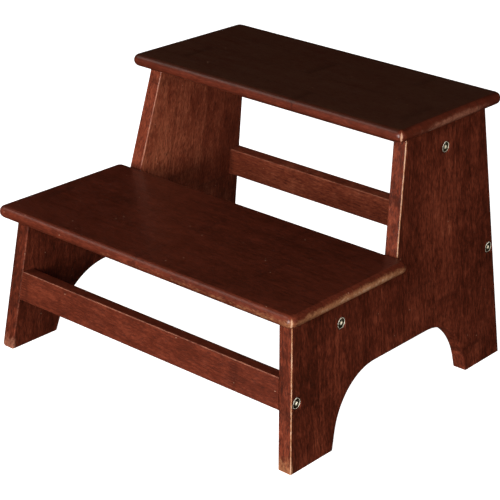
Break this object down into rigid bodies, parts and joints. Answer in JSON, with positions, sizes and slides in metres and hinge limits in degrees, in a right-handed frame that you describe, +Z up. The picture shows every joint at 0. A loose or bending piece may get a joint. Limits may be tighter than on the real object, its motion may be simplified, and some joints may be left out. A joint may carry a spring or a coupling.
{
  "type": "step stool",
  "caption": "Wooden step stool with splayed arched side panels, bullnosed treads, stretchers and knock-down bolts.",
  "frame": {"origin": "on the floor, at the centre of the stool's plan", "axes": "+X across the stool to its right as seen from the front, +Y from the lower step towards the upper step, +Z up"},
  "size_m": [0.456, 0.423, 0.336],
  "materials": {
    "stained_board": "dark reddish-brown stain under semi-gloss lacquer",
    "dowel_wood": "plain unfinished hardwood",
    "bolt_metal": "polished, slightly yellow plating",
    "zinc_steel": "bright zinc plating"
  },
  "bodies": {
    "root": {"side_panel_right": "stained_board", "side_panel_left": "stained_board", "lower_tread": "stained_board", "upper_tread": "stained_board", "front_stretcher": "stained_board", "rear_stretcher": "stained_board", "lower_tread_rail": "stained_board", "upper_tread_rail": "stained_board", "front_stretcher_bolt_right": "bolt_metal", "front_stretcher_nut_right": "zinc_steel", "front_stretcher_bolt_left": "bolt_metal", "front_stretcher_nut_left": "zinc_steel", "front_stretcher_dowels": "dowel_wood", "rear_stretcher_bolt_right": "bolt_metal", "rear_stretcher_nut_right": "zinc_steel", "rear_stretcher_bolt_left": "bolt_metal", "rear_stretcher_nut_left": "zinc_steel", "rear_stretcher_dowels": "dowel_wood", "lower_tread_rail_bolt_right": "bolt_metal", "lower_tread_rail_nut_right": "zinc_steel", "lower_tread_rail_bolt_left": "bolt_metal", "lower_tread_rail_nut_left": "zinc_steel", "lower_tread_rail_dowels": "dowel_wood", "upper_tread_rail_bolt_right": "bolt_metal", "upper_tread_rail_nut_right": "zinc_steel", "upper_tread_rail_bolt_left": "bolt_metal", "upper_tread_rail_nut_left": "zinc_steel", "upper_tread_rail_dowels": "dowel_wood", "lower_tread_dowels": "dowel_wood", "lower_tread_screws": "zinc_steel", "upper_tread_dowels": "dowel_wood", "upper_tread_screws": "zinc_steel"}
  },
  "joints": []
}
